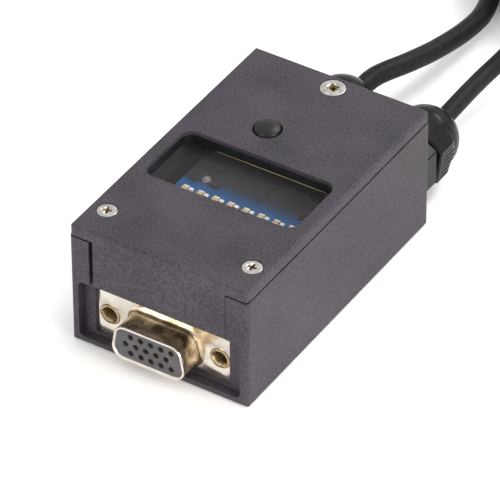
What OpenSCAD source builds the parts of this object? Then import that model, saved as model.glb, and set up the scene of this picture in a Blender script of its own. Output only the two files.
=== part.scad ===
// Small sensor interface box: a two-piece plastic case with a window over a row of status LEDs,
// a push button, a 15-way D connector in its front end and two cables through glands in its
// rear end. The origin is the centre of the case's underside. -Y is the connector end,
// +Y the cable end, +Z up. Millimetres.

/* [Case] */
// Width of the case
case_w = 40.2; // [39.8:0.1:41]
// Length of the case, from the connector end to the cable end
case_l = 66.8; // [66.6:0.1:69]
// Height of the closed case
case_h = 27.8; // [27.6:0.1:28.4]
// Thickness of the side walls, rear wall and floor
wall = 2; // [1.7:0.1:2.1]
// Radius of the upright corners
corner_r = 1; // [0.6:0.1:2]
// Radius of the top and bottom edges
edge_r = 0.6; // [0.4:0.1:1.4]

/* [Lid] */
// Thickness of the lid
lid_t = 2.8; // [2.6:0.1:3]
// How far the lid stands back from the case's outline
lid_inset = 0.1; // [0.1:0.1:0.6]
// Height of the gap between the lid and the rim of the base
seam_gap = 0.35; // [0.1:0.05:0.4]
// Width of the window opening
window_w = 34.2; // [30:0.1:34.4]
// Length of the window opening
window_l = 16.25; // [12:0.05:16.5]
// Centre of the window, from the case's centre
window_y = -4.4; // [-5:0.1:-4]
// Corner radius of the window opening
window_r = 2.5; // [1:0.1:4]

/* [Button] */
// Diameter of the button cap
button_d = 5.4; // [4.6:0.1:5.6]
// Height of the cap above the lid
button_proud = 1; // [0.8:0.1:1.6]
// Travel of the button
button_travel = 0.5; // [0.3:0.05:0.5]

/* [Connector] */
// Width of the connector's D-shaped shroud, over its wide lower side
shroud_w = 16.3; // [16.1:0.1:16.5]
// Height of the shroud
shroud_h = 7.9; // [7.8:0.1:8.1]
// Length of the shroud in front of the flange
shroud_l = 6.1; // [5.6:0.1:6.4]
// Distance between the two jack-screw inserts
insert_spacing = 25; // [24.9:0.05:25.1]

/* [Glands and cables] */
// Height of the glands' axes above the underside
gland_z = 8.7; // [8.6:0.1:9]
// Size of the gland nuts across their flats
gland_af = 14; // [13.6:0.1:14.2]
// Diameter of the left cable
left_cable_d = 4.2; // [4:0.1:4.4]
// Diameter of the right cable
right_cable_d = 3.8; // [3.6:0.1:4]

/* [Hidden] */
$fn = 64;

// Colours
case_black = "#33313a";
pcb_blue = "#1f5f9e";
steel = "#d9d7d0";
gold = "#c9a24b";
chip_black = "#1b1b1e";
cable_black = "#1c1c1f";
white = "#eceae2";

// Case
front_y = -case_l / 2;
rear_y = case_l / 2;
rim_z = 25.2;
lid_under_z = case_h - lid_t;
pocket_depth = 2;
panel_t = 0.8;
cavity_front_y = front_y + pocket_depth + panel_t;
cavity_rear_y = rear_y - wall;
cavity_w = case_w - 2 * wall;
pocket_x = -0.1;
pocket_w = 36.5;
pocket_z0 = 1.45;
pocket_z1 = 14.75;
pocket_r = 1.2;
slot_x = -0.2;
slot_w = 30.6;
tongue_w = 29.8;
tongue_x = 0.05;
opening_w = 30.4;
opening_z0 = 2.1;
fit_gap = 0.05;

// Screws
front_screw_x = 16.3;
front_screw_y = -25.8;
front_head_d = 4.15;
front_shank_d = 2.2;
front_screw_l = 9;
rear_screw_y = 29.85;
rear_head_d = 5.35;
rear_shank_d = 2.8;
rear_screw_l = 8;
head_rim = 0.35;
head_sink = 0.05;
front_boss_r = 2.6;
front_boss_z0 = 12;
rear_boss_r = 2.9;
rear_boss_z0 = 16.6;

// Circuit board
pcb_w = 28.8;
pcb_y0 = -22.4;
pcb_y1 = 24;
pcb_t = 1.6;
pcb_z = 19.3;
pcb_top = pcb_z + pcb_t;
standoff_x = 11.8;
standoff_ys = [-19.6, 10];
standoff_r = 2.2;
pcb_screw_d = 2;
led_count = 8;
led_pitch = 3.46;
led_y = -5.7;

// Button and switch
button_x = -3.75;
button_y = 11.7;
button_gap = 0.3;
plunger_d = 3.4;
switch_h = 2.6;

// Connector
connector_x = -0.5;
connector_z = 6.85;
flange_y = front_y + pocket_depth + panel_t;
flange_w = 30.8;
flange_z0 = 0.9;
flange_z1 = 12.8;
flange_t = 0.8;
shroud_t = 0.5;
shroud_r = 2.6;
contact_pitch_x = 2.29;
contact_pitch_z = 1.98;
contact_stagger = 0.57;
connector_back_y = -21.5;
insert_d = 4.4;
insert_bore = 2.4;
insert_l = 6.4;

// Glands, measured from the rear wall's face
left_gland_x = -8;
right_gland_x = 11.3;
gasket_t = 0.8;
gland_neck_y = 4.3;
gland_flange_y = 6.7;
gland_nut_y = 7.2;
gland_flats_y = 13.1;
gland_mouth_y = 18.1;
gland_dome_r = 7;
gland_thread_r = 4;
gland_turn = 8;
mouth_y = rear_y + gland_mouth_y;
tail_y = 25.5;

// Coils: each is two layers of turns, the right cable's lying on the left cable's
coil_x = 10;
coil_y = 126;
turn_out_r = 25.9;
turn_in_r = 17.2;
tie_t = 0.5;
left_coil_h = 8.6;
right_coil_h = 7.8;
left_coil_z = tie_t;
right_coil_z = left_coil_z + left_coil_h + 0.05;
left_low_z = left_coil_z + left_cable_d / 2;
left_high_z = left_coil_z + left_coil_h - left_cable_d / 2;
right_low_z = right_coil_z + right_cable_d / 2;
right_high_z = right_coil_z + right_coil_h - right_cable_d / 2;
left_join = 200;
right_join = -45;
function on_coil(angle, z) =
    [coil_x + turn_out_r * cos(angle), coil_y + turn_out_r * sin(angle), z];

// Plugs, in their own frame: +Y from the cable's entry to the nose
plug_y = 143.5;
plug_relief_l = 8;
plug_neck_y = 19.5;
plug_collar_y = 24.3;
plug_insert_y = 28;
plug_nut_y = 20;
plug_l = 34;
plug_r = 5;
left_plug = [coil_x - turn_out_r, plug_y, 6.5];
left_plug_tilt = 2;
right_plug = [coil_x + turn_out_r, plug_y, 10.9];
right_plug_tilt = 10;

// Routes of the cables' loose stretches
left_route = [
    [left_gland_x, mouth_y, gland_z], [-8, 56, 8.9], [-7.5, 59, 9], [-6.5, 62, 8.9],
    [-5, 67, 8.2], [-3.6, 75, 6.7], [-2.9, 84, 5.1], [-2.9, 90, 4.2], [-3.4, 95, 3.6],
    [-5.2, 101, 3], [-8.4, 107, 2.7], [-11.8, 112, 2.6], on_coil(left_join, left_low_z)
];
right_route = [
    [right_gland_x, mouth_y, gland_z], [11.2, 56, 8.9], [11.1, 60, 8.9], [10.9, 63.5, 8.7],
    [10.7, 67, 8.4], [10.6, 71, 8.2], [11.1, 75, 8.7], [12, 80, 9.8], [13.2, 85, 11.4],
    [15, 90.5, 13.2], [18, 97, 14.6], [22.9, 102.6, 14.9], on_coil(right_join, right_high_z)
];
left_end_route = [
    on_coil(180, left_high_z), [coil_x - turn_out_r, 135, 6.9], left_plug
];
right_end_route = [
    on_coil(0, right_low_z), [coil_x + turn_out_r, 134, 11.1],
    [coil_x + turn_out_r, 140, 11.1], right_plug
];

// ---- Shapes that repeat ----

// Rounded rectangle, centred
module plan_shape(w, l, r) {
    square([w - 2 * r, l], center = true);
    square([w, l - 2 * r], center = true);
    for (x = [-1, 1], y = [-1, 1])
        translate([x * (w / 2 - r), y * (l / 2 - r)]) circle(r);
}

// Upright section through a box, with its own top and bottom edge radii
module edge_profile(w, h, top, bottom) {
    translate([-w / 2, bottom]) square([w, h - top - bottom]);
    translate([-w / 2 + top, h / 2]) square([w - 2 * top, h / 2]);
    translate([-w / 2 + bottom, 0]) square([w - 2 * bottom, h / 2]);
    for (x = [-1, 1]) {
        if (top > 0) translate([x * (w / 2 - top), h - top]) circle(top);
        if (bottom > 0) translate([x * (w / 2 - bottom), bottom]) circle(bottom);
    }
}

// Box with rounded upright corners and rounded top or bottom edges, standing on z = 0
module soft_box(w, l, h, r, top, bottom) {
    intersection() {
        linear_extrude(h) plan_shape(w, l, r);
        translate([0, l, 0]) rotate([90, 0, 0]) linear_extrude(2 * l) edge_profile(w, h, top, bottom);
        translate([-w, 0, 0]) rotate([90, 0, 90]) linear_extrude(2 * w) edge_profile(l, h, top, bottom);
    }
}

// Box from one corner to the opposite one
module block(from, to) {
    translate(from) cube(to - from);
}

// Cylinder along +Y from y = 0
module rod(r, l, sides = 64) {
    rotate([-90, 0, 0]) cylinder(r = r, h = l, $fn = sides);
}

// Ring along +Y from y = 0
module sleeve(r_out, r_in, l) {
    rotate([-90, 0, 0]) difference() {
        cylinder(r = r_out, h = l);
        translate([0, 0, -1]) cylinder(r = r_in, h = l + 2);
    }
}

// Hexagonal bar along +Y with two of its flats facing along X
module hex_bar(af, l) {
    rotate([-90, 0, 0]) rotate(30) cylinder(r = af / 2 / cos(30), h = l, $fn = 6);
}

// Countersunk screw, its head's top at z = 0, with a cross recess
module countersunk_screw(head_d, shank_d, l) {
    recess_w = head_d * 0.13;
    difference() {
        countersink(head_d, shank_d, l, 0);
        for (a = [0, 90])
            rotate(a) block([-head_d * 0.3, -recess_w / 2, -head_d * 0.25], [head_d * 0.3, recess_w / 2, 1]);
    }
}

// Solid of revolution of a countersunk screw, grown by gap
module countersink(head_d, shank_d, l, gap) {
    head_r = head_d / 2 + gap;
    shank_r = shank_d / 2 + gap;
    rotate_extrude()
        polygon([
            [0, gap > 0 ? 1 : 0], [head_r, gap > 0 ? 1 : 0], [head_r, -head_rim],
            [shank_r, -head_rim - head_r + shank_r], [shank_r, -l], [0, -l]
        ]);
}

// Points of an arc, from one angle to another
function arc(centre, r, from, to, steps = 8) =
    [for (i = [0:steps]) centre + r * [cos(from + (to - from) * i / steps), sin(from + (to - from) * i / steps)]];

// D outline, wide side down, centred on its height
module d_shape(w, h, r) {
    slope = 10;
    low_x = w / 2 - r;
    high_x = low_x - (h - 2 * r) * tan(slope);
    low_y = r - h / 2;
    polygon(concat(
        arc([low_x, low_y], r, -90, slope), arc([high_x, -low_y], r, slope, 90),
        arc([-high_x, -low_y], r, 90, 180 - slope), arc([-low_x, low_y], r, 180 - slope, 270)
    ));
}

// D-shaped bar along +Y
module d_bar(w, h, r, l) {
    translate([0, l, 0]) rotate([90, 0, 0]) linear_extrude(l) d_shape(w, h, r);
}

// Places of the fifteen contacts, in the connector's own frame
contact_places = [
    for (row = [-1, 0, 1], i = [-2:2])
        [
            i * contact_pitch_x + (row == 0 ? -contact_stagger : contact_stagger),
            row * contact_pitch_z
        ]
];

// ---- Swept cables ----

function unit(v) = v / norm(v);
function heading(route, i) =
    unit(route[min(i + 1, len(route) - 1)] - route[max(i - 1, 0)]);
function ring(centre, dir, ref, r, n) =
    let (side = unit(cross(ref, dir)), up = cross(dir, side))
    [for (k = [0:n - 1]) centre + r * (cos(360 * k / n) * side + sin(360 * k / n) * up)];

// Tube along a route, whose end faces are square to the directions first and last
module tube(route, d, first, last, ref = [0, 0, 1], n = 8) {
    rings = len(route);
    points = [
        for (i = [0:rings - 1])
            let (dir = i == 0 ? first : i == rings - 1 ? last : heading(route, i))
            each ring(route[i], dir, ref, d / 2, n)
    ];
    sides = [
        for (i = [0:rings - 2], k = [0:n - 1])
            let (a = i * n + k, b = i * n + (k + 1) % n)
            each [[a, b, b + n], [a, b + n, a + n]]
    ];
    near_end = [for (k = [n - 1:-1:0]) k];
    far_end = [for (k = [0:n - 1]) (rings - 1) * n + k];
    polyhedron(points, concat(sides, [near_end, far_end]));
}

// ---- Case ----

module base_cavity() {
    block([-cavity_w / 2, cavity_front_y, wall], [cavity_w / 2, cavity_rear_y, case_h]);
}

module connector_pocket() {
    translate([pocket_x, front_y + pocket_depth, (pocket_z0 + pocket_z1) / 2])
        rotate([90, 0, 0])
            linear_extrude(pocket_depth + 1) plan_shape(pocket_w, pocket_z1 - pocket_z0, pocket_r);
    block([slot_x - slot_w / 2, front_y - 1, pocket_z1 - 1], [slot_x + slot_w / 2, front_y + pocket_depth, case_h]);
    block(
        [connector_x - opening_w / 2, front_y, opening_z0],
        [connector_x + opening_w / 2, cavity_front_y + 1, case_h]
    );
}

module connector_ribs() {
    rib_y = flange_y + 2 * flange_t + fit_gap;
    for (x = [connector_x - flange_w / 2 - 0.2, connector_x + flange_w / 2 + 0.2]) {
        side = sign(x);
        block(
            [min(x - side * 0.3, side * (cavity_w / 2 + 0.5)), rib_y, wall - 0.5],
            [max(x - side * 0.3, side * (cavity_w / 2 + 0.5)), rib_y + 1.2, 13]
        );
    }
}

module case_base() {
    color(case_black) difference() {
        union() {
            difference() {
                soft_box(case_w, case_l, rim_z, corner_r, 0, edge_r);
                base_cavity();
            }
            for (x = [-1, 1])
                block(
                    [x * cavity_w / 2 - 1.6, front_screw_y - 1.2, front_boss_z0],
                    [x * cavity_w / 2 + 1.6, front_screw_y + 1.2, lid_under_z]
                );
            for (x = [-front_screw_x, front_screw_x])
                translate([x, front_screw_y, front_boss_z0])
                    cylinder(r = front_boss_r, h = lid_under_z - front_boss_z0);
            translate([0, rear_screw_y, rear_boss_z0])
                cylinder(r = rear_boss_r, h = lid_under_z - rear_boss_z0);
            for (x = [-standoff_x, standoff_x], y = standoff_ys)
                translate([x, y, wall - 0.5]) cylinder(r = standoff_r, h = pcb_z - wall + 0.5);
            connector_ribs();
        }
        connector_pocket();
        block(
            [connector_x - flange_w / 2 - 0.2, flange_y - 0.01, flange_z0 - 0.05],
            [connector_x + flange_w / 2 + 0.2, flange_y + 2 * flange_t, wall + 1]
        );
        for (x = [left_gland_x, right_gland_x])
            translate([x, cavity_rear_y - 1, gland_z]) rod(gland_thread_r + fit_gap, wall + 2);
        for (x = [-front_screw_x, front_screw_x])
            translate([x, front_screw_y, lid_under_z - front_screw_l])
                cylinder(d = front_shank_d + 2 * fit_gap, h = front_screw_l + 1);
        translate([0, rear_screw_y, lid_under_z - rear_screw_l])
            cylinder(d = rear_shank_d + 2 * fit_gap, h = rear_screw_l + 1);
        for (x = [-standoff_x, standoff_x], y = standoff_ys)
            translate([x, y, pcb_z - 7]) cylinder(d = pcb_screw_d + 2 * fit_gap, h = 8);
    }
}

module lid() {
    lid_z = rim_z + seam_gap;
    lid_y0 = front_y + 0.1;
    lid_y1 = rear_y - lid_inset;
    color(case_black) difference() {
        union() {
            translate([0, (lid_y0 + lid_y1) / 2, lid_z])
                soft_box(case_w - 2 * lid_inset, lid_y1 - lid_y0, case_h - lid_z, corner_r, edge_r, 0);
            block(
                [0.2 - cavity_w / 2, cavity_front_y + 0.2, lid_under_z],
                [cavity_w / 2 - 0.2, cavity_rear_y - 0.2, lid_z + 0.5]
            );
            block(
                [tongue_x - tongue_w / 2, front_y + 0.1, pocket_z1],
                [tongue_x + tongue_w / 2, front_y + pocket_depth, lid_z + 0.5]
            );
        }
        translate([0, window_y, lid_under_z - 1])
            linear_extrude(lid_t + 2) plan_shape(window_w, window_l, window_r);
        translate([button_x, button_y, lid_under_z - 1])
            cylinder(d = button_d + 2 * button_gap, h = lid_t + 2);
        for (x = [-front_screw_x, front_screw_x])
            translate([x, front_screw_y, case_h - head_sink])
                countersink(front_head_d, front_shank_d, front_screw_l, fit_gap);
        translate([0, rear_screw_y, case_h - head_sink])
            countersink(rear_head_d, rear_shank_d, rear_screw_l, fit_gap);
    }
}

module lid_screws_front() {
    color(steel)
        for (x = [-front_screw_x, front_screw_x])
            translate([x, front_screw_y, case_h - head_sink])
                countersunk_screw(front_head_d, front_shank_d, front_screw_l);
}

module lid_screw_rear() {
    color(steel)
        translate([0, rear_screw_y, case_h - head_sink])
            countersunk_screw(rear_head_d, rear_shank_d, rear_screw_l);
}

module window_pane() {
    pane_t = 1.5;
    pane_over = 1.4;
    color("#b9c4cc", 0.35)
        translate([0, window_y, lid_under_z - pane_t / 2])
            cube([window_w + 1, window_l + 2 * pane_over, pane_t], center = true);
}

// ---- Circuit board ----

module pcb() {
    color(pcb_blue) difference() {
        block([-pcb_w / 2, pcb_y0, pcb_z], [pcb_w / 2, pcb_y1, pcb_top]);
        for (x = [-standoff_x, standoff_x], y = standoff_ys)
            translate([x, y, pcb_z - 1]) cylinder(d = pcb_screw_d + 0.3, h = pcb_t + 2);
    }
}

module pcb_screws() {
    color(steel)
        for (x = [-standoff_x, standoff_x], y = standoff_ys)
            translate([x, y, pcb_top]) difference() {
                union() {
                    cylinder(d = 3.8, h = 1.3);
                    translate([0, 0, -6]) cylinder(d = pcb_screw_d, h = 7);
                }
                for (a = [0, 90])
                    rotate(a) translate([0, 0, 1.3]) cube([2.2, 0.5, 1.4], center = true);
            }
}

// Places of the status LEDs along the window
led_xs = [for (i = [0:led_count - 1]) (i - (led_count - 1) / 2) * led_pitch];

module status_leds() {
    color(white)
        for (x = led_xs)
            translate([x, led_y, pcb_top]) {
                block([-0.5, -1, 0], [0.5, 1, 0.4]);
                translate([0, 0, 0.4]) cylinder(d = 0.9, h = 0.2, $fn = 24);
            }
}

module led_resistors() {
    color(chip_black)
        for (x = led_xs)
            translate([x + 1.2, led_y, pcb_top]) block([-0.3, -0.55, 0], [0.3, 0.55, 0.35]);
}

module side_lamps() {
    color(white)
        for (x = [-9.9, 11.95])
            translate([x, -0.8, pcb_top]) {
                cylinder(d = 1.9, h = 0.5);
                translate([0, 0, 0.5]) cylinder(d = 1.3, h = 0.4);
            }
}

module controller_chip() {
    pins = 8;
    color(chip_black) translate([6, 14.2, pcb_top]) {
        block([-3.2, -3.2, 0.15], [3.2, 3.2, 1.15]);
        for (a = [0, 90, 180, 270], i = [0:pins - 1])
            rotate(a) translate([(i - (pins - 1) / 2) * 0.7, 3.5, 0.2]) cube([0.3, 0.8, 0.4], center = true);
    }
}

module voltage_regulator() {
    color(chip_black) translate([-9.5, 17.5, pcb_top]) {
        block([-3.2, -1.75, 0.05], [3.2, 1.75, 1.65]);
        block([-1.5, 1.5, 0], [1.5, 3.4, 0.4]);
        for (x = [-2.3, 0, 2.3]) translate([x, -2.4, 0.2]) cube([0.7, 1.6, 0.4], center = true);
    }
}

module chip_capacitors() {
    places = [[-12.3, -1.6], [-7.6, -1.6], [8, 9.2], [3, 9.6], [-8.4, 9.5], [-9, 21.8]];
    color("#8a6a42")
        for (p = places)
            translate([p[0], p[1], pcb_top]) block([-0.8, -0.45, 0], [0.8, 0.45, 0.6]);
}

// ---- Button ----

module switch_body() {
    color(chip_black) translate([button_x, button_y, pcb_top]) difference() {
        block([-3, -3, 0], [3, 3, switch_h]);
        translate([0, 0, 0.25]) cylinder(d = 4.8, h = 0.75);
        cylinder(d = plunger_d + 2 * fit_gap, h = switch_h + 1);
    }
}

module switch_dome() {
    dome_r = 6.3;
    color(steel) translate([button_x, button_y, pcb_top + 0.3]) intersection() {
        cylinder(d = 4.4, h = 1);
        difference() {
            translate([0, 0, 0.5 - dome_r]) sphere(dome_r, $fn = 96);
            translate([0, 0, 0.35 - dome_r]) sphere(dome_r, $fn = 96);
        }
    }
}

plunger_z0 = pcb_top + 0.9 + button_travel;
cap_flange_z1 = lid_under_z - 0.05;
cap_flange_z0 = cap_flange_z1 - 0.6;

module switch_plunger() {
    color(white)
        translate([button_x, button_y, plunger_z0]) cylinder(d = plunger_d, h = cap_flange_z0 - plunger_z0);
}

module button_cap() {
    top_z = case_h + button_proud;
    dome_rise = 0.6;
    dome_r = (pow(button_d / 2, 2) + pow(dome_rise, 2)) / (2 * dome_rise);
    color("#232227") translate([button_x, button_y, 0]) {
        intersection() {
            translate([0, 0, cap_flange_z0]) cylinder(d = button_d, h = top_z - cap_flange_z0);
            translate([0, 0, top_z - dome_r]) sphere(dome_r, $fn = 96);
        }
        translate([0, 0, cap_flange_z0]) cylinder(d = button_d + 1.6, h = cap_flange_z1 - cap_flange_z0);
    }
}

// ---- Connector ----

module connector_frame(y) {
    translate([connector_x, y, connector_z]) children();
}

module connector_shell() {
    inner_w = shroud_w - 2 * shroud_t;
    inner_h = shroud_h - 2 * shroud_t;
    color(steel) difference() {
        union() {
            block(
                [connector_x - flange_w / 2, flange_y, flange_z0],
                [connector_x + flange_w / 2, flange_y + flange_t, flange_z1]
            );
            block(
                [connector_x - flange_w / 2, flange_y + flange_t, flange_z0 + 0.4],
                [connector_x + flange_w / 2, flange_y + 2 * flange_t - fit_gap, flange_z1 - 0.4]
            );
            connector_frame(flange_y - shroud_l) d_bar(shroud_w, shroud_h, shroud_r, shroud_l + flange_t / 2);
        }
        connector_frame(flange_y - shroud_l - 1)
            d_bar(inner_w, inner_h, shroud_r - shroud_t, shroud_l + 4);
        for (x = [-1, 1])
            connector_frame(flange_y - 1)
                translate([x * insert_spacing / 2, 0, 0]) rod(insert_d / 2 + fit_gap, 4);
    }
}

module connector_insulator() {
    gap = 0.04;
    w = shroud_w - 2 * shroud_t - 2 * gap;
    h = shroud_h - 2 * shroud_t - 2 * gap;
    front = flange_y - shroud_l + 0.3;
    color("#3a393b") difference() {
        connector_frame(front) d_bar(w, h, shroud_r - shroud_t - gap, connector_back_y - front);
        for (p = contact_places)
            connector_frame(front - 1) translate([p[0], 0, p[1]]) rod(0.65, 40, 24);
    }
}

module connector_contacts() {
    color(gold)
        for (p = contact_places)
            connector_frame(flange_y - shroud_l + 1.2) translate([p[0], 0, p[1]]) difference() {
                rod(0.6, connector_back_y - flange_y + shroud_l - 0.2, 24);
                translate([0, -1, 0]) rod(0.4, 6, 24);
            }
}

module connector_inserts() {
    color(steel)
        for (x = [-1, 1])
            connector_frame(flange_y - 0.15) translate([x * insert_spacing / 2, 0, 0])
                sleeve(insert_d / 2, insert_bore / 2, insert_l);
}

// Half-round bend and straight rise of the ribbon, seen along X
module ribbon_cable() {
    bend_r = 4;
    ribbon_t = 0.9;
    ribbon_w = 12.6;
    start_y = connector_back_y + 1;
    color("#8d8f94") translate([connector_x - ribbon_w / 2, start_y, connector_z]) {
        rotate([90, 0, 90]) linear_extrude(ribbon_w) {
            translate([0, bend_r]) difference() {
                intersection() {
                    circle(bend_r + ribbon_t / 2);
                    translate([0, -10]) square(10);
                }
                circle(bend_r - ribbon_t / 2);
            }
            translate([bend_r - ribbon_t / 2, bend_r]) square([ribbon_t, 14.3 - connector_z - bend_r]);
        }
    }
}

module ribbon_header() {
    color(chip_black)
        translate([connector_x, connector_back_y + 5, (14.3 + pcb_z) / 2])
            cube([15.2, 5, pcb_z - 14.3], center = true);
}

// ---- Glands ----

module gland_frame(x, y) {
    translate([x, rear_y + y, gland_z]) children();
}

module gland_body(x, cable_d) {
    color(cable_black) difference() {
        union() {
            gland_frame(x, -5.5) rod(gland_thread_r, gasket_t + 6);
            gland_frame(x, gasket_t) hex_bar(13.4, gland_flange_y - gasket_t);
            gland_frame(x, gland_neck_y) rod(4.9, 7.5);
        }
        gland_frame(x, -6) rod(cable_d / 2 + 0.35, 20);
        gland_frame(x, gland_nut_y + 0.8) rod(3.7, 10);
    }
}

module gland_gasket(x) {
    color("#101012") gland_frame(x, 0) sleeve(7, gland_thread_r + fit_gap, gasket_t);
}

module gland_locknut(x) {
    color(cable_black) gland_frame(x, -wall - 2.5) difference() {
        hex_bar(11.2, 2.5);
        translate([0, -1, 0]) rod(gland_thread_r + fit_gap, 5);
    }
}

module gland_seal(x, cable_d) {
    color("#101012") gland_frame(x, gland_nut_y + 0.9) sleeve(3.6, cable_d / 2 + 0.03, 7);
}

// Ball-shaped top of a gland nut with a short collar under it
module gland_dome() {
    top_y = gland_mouth_y - gland_flats_y;
    rotate([-90, 0, 0]) rotate_extrude()
        polygon(concat(
            [[0, -0.8], [gland_dome_r, -0.8]],
            arc([0, 0], gland_dome_r, 0, asin(top_y / gland_dome_r), 10),
            [[0, top_y]]
        ));
}

module gland_nut(x, cable_d) {
    color(cable_black) difference() {
        union() {
            gland_frame(x, gland_nut_y)
                rotate([0, gland_turn, 0]) hex_bar(gland_af, gland_flats_y - gland_nut_y);
            gland_frame(x, gland_flats_y) gland_dome();
        }
        gland_frame(x, gland_nut_y - 1) rod(4.95, 6.4);
        gland_frame(x, gland_nut_y) rod(3.7, 8.5);
        gland_frame(x, gland_nut_y) rod(cable_d / 2 + 0.2, 12);
    }
}

// Jacketed end of a cable inside its gland
module cable_tail(x, cable_d) {
    color(cable_black) translate([x, tail_y, gland_z]) rod(cable_d / 2, mouth_y - tail_y);
}

// Four insulated cores rising from the jacket's end to the header under the board
module cable_cores(x) {
    header_z = 16.6;
    for (i = [-1.5:1.5])
        color([0.8 - 0.2 * i, 0.45 + 0.15 * i, 0.3])
            tube(
                [
                    [x + i, tail_y, gland_z], [x + i, tail_y - 1.4, gland_z + 0.3],
                    [x + i, tail_y - 2.6, gland_z + 1.3], [x + i, tail_y - 3.4, gland_z + 3],
                    [x + i, tail_y - 3.5, header_z]
                ],
                0.9, [0, -1, 0], [0, 0, 1], [1, 0, 0], 6
            );
}

module cable_header(x) {
    color(white) translate([x, tail_y - 3.5, (16.6 + pcb_z) / 2]) cube([5.6, 3.6, pcb_z - 16.6], center = true);
}

// ---- Coils and plugs ----

module coil_solid(z, h, cable_d) {
    r0 = turn_in_r - cable_d / 2;
    r1 = turn_out_r + cable_d / 2;
    color(cable_black) translate([coil_x, coil_y, z])
        rotate_extrude() translate([r0, 0]) square([r1 - r0, h]);
}

module cable_tie() {
    y0 = turn_in_r - left_cable_d / 2 - 0.3;
    y1 = turn_out_r + left_cable_d / 2 + 0.15;
    top = right_coil_z + right_coil_h + 0.05;
    color("#17171a") translate([coil_x, coil_y, 0]) difference() {
        block([-2, y0 - tie_t, 0], [2, y1 + tie_t, top + tie_t]);
        block([-3, y0, tie_t - 0.02], [3, y1, top]);
    }
}

module plug_frame(at, tilt) {
    translate(at) rotate([-tilt, 0, 0]) children();
}

// Turned outline of a plug's moulded body: relief, grip, neck and collar
module plug_body() {
    color(cable_black) rotate([-90, 0, 0]) rotate_extrude()
        polygon([
            [0, 0], [2.9, 0], [4, plug_relief_l], [4.5, plug_relief_l], [4.5, plug_neck_y],
            [3.4, plug_neck_y], [3.4, plug_collar_y], [3.9, plug_collar_y], [3.9, plug_insert_y],
            [0, plug_insert_y]
        ]);
}

module plug_insert() {
    color("#3a393b") translate([0, plug_insert_y, 0]) rod(3.6, 1.5);
}

module plug_pins() {
    color(gold)
        for (a = [45:90:315])
            rotate([0, a, 0]) translate([1.6, plug_insert_y + 1.5, 0]) rod(0.5, 3.2, 24);
}

module plug_nut() {
    color(steel) translate([0, plug_nut_y, 0]) difference() {
        rod(plug_r, plug_l - plug_nut_y);
        translate([0, -1, 0]) rod(3.7, 10);
        translate([0, 4, 0]) rod(4.2, 20);
    }
}

module left_gland_body() { gland_body(left_gland_x, left_cable_d); }
module left_gland_gasket() { gland_gasket(left_gland_x); }
module left_gland_locknut() { gland_locknut(left_gland_x); }
module left_gland_seal() { gland_seal(left_gland_x, left_cable_d); }
module left_gland_nut() { gland_nut(left_gland_x, left_cable_d); }
module left_cable_tail() { cable_tail(left_gland_x, left_cable_d); }
module left_cable_cores() { cable_cores(left_gland_x); }
module left_cable_header() { cable_header(left_gland_x); }
module right_gland_body() { gland_body(right_gland_x, right_cable_d); }
module right_gland_gasket() { gland_gasket(right_gland_x); }
module right_gland_locknut() { gland_locknut(right_gland_x); }
module right_gland_seal() { gland_seal(right_gland_x, right_cable_d); }
module right_gland_nut() { gland_nut(right_gland_x, right_cable_d); }
module right_cable_tail() { cable_tail(right_gland_x, right_cable_d); }
module right_cable_cores() { cable_cores(right_gland_x); }
module right_cable_header() { cable_header(right_gland_x); }

module left_cable() {
    color(cable_black)
        tube(left_route, left_cable_d, [0, 1, 0], [sin(left_join), -cos(left_join), 0]);
}
module left_cable_coil() { coil_solid(left_coil_z, left_coil_h, left_cable_d); }
module left_cable_end() {
    color(cable_black)
        tube(left_end_route, left_cable_d, [0, 1, 0], [0, cos(left_plug_tilt), -sin(left_plug_tilt)]);
}
module left_plug_body() { plug_frame(left_plug, left_plug_tilt) plug_body(); }
module left_plug_insert() { plug_frame(left_plug, left_plug_tilt) plug_insert(); }
module left_plug_pins() { plug_frame(left_plug, left_plug_tilt) plug_pins(); }
module left_plug_nut() { plug_frame(left_plug, left_plug_tilt) plug_nut(); }

module right_cable() {
    color(cable_black)
        tube(right_route, right_cable_d, [0, 1, 0], [-sin(right_join), cos(right_join), 0]);
}
module right_cable_coil() { coil_solid(right_coil_z, right_coil_h, right_cable_d); }
module right_cable_end() {
    color(cable_black)
        tube(right_end_route, right_cable_d, [0, 1, 0], [0, cos(right_plug_tilt), -sin(right_plug_tilt)]);
}
module right_plug_body() { plug_frame(right_plug, right_plug_tilt) plug_body(); }
module right_plug_insert() { plug_frame(right_plug, right_plug_tilt) plug_insert(); }
module right_plug_pins() { plug_frame(right_plug, right_plug_tilt) plug_pins(); }
module right_plug_nut() { plug_frame(right_plug, right_plug_tilt) plug_nut(); }

case_base();
lid();
lid_screws_front();
lid_screw_rear();
window_pane();
pcb();
pcb_screws();
status_leds();
led_resistors();
side_lamps();
controller_chip();
voltage_regulator();
chip_capacitors();
switch_body();
switch_dome();
switch_plunger();
button_cap();
connector_shell();
connector_insulator();
connector_contacts();
connector_inserts();
ribbon_cable();
ribbon_header();
left_gland_body();
left_gland_gasket();
left_gland_locknut();
left_gland_seal();
left_gland_nut();
left_cable_tail();
left_cable_cores();
left_cable_header();
right_gland_body();
right_gland_gasket();
right_gland_locknut();
right_gland_seal();
right_gland_nut();
right_cable_tail();
right_cable_cores();
right_cable_header();
left_cable();
left_cable_coil();
left_cable_end();
left_plug_body();
left_plug_insert();
left_plug_pins();
left_plug_nut();
right_cable();
right_cable_coil();
right_cable_end();
right_plug_body();
right_plug_insert();
right_plug_pins();
right_plug_nut();
cable_tie();
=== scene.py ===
# %% [markdown]
# # A small sensor interface box, finished in Blender
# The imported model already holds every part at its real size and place. This lesson adds what
# a flat CAD part lacks: softened edges, fine moulded grain, plated metal, cables that bend,
# and light. Every length below is in metres; `MM` turns millimetres into metres.

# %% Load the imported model
import math

import bmesh
import bpy
from mathutils import Matrix, Vector


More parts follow.
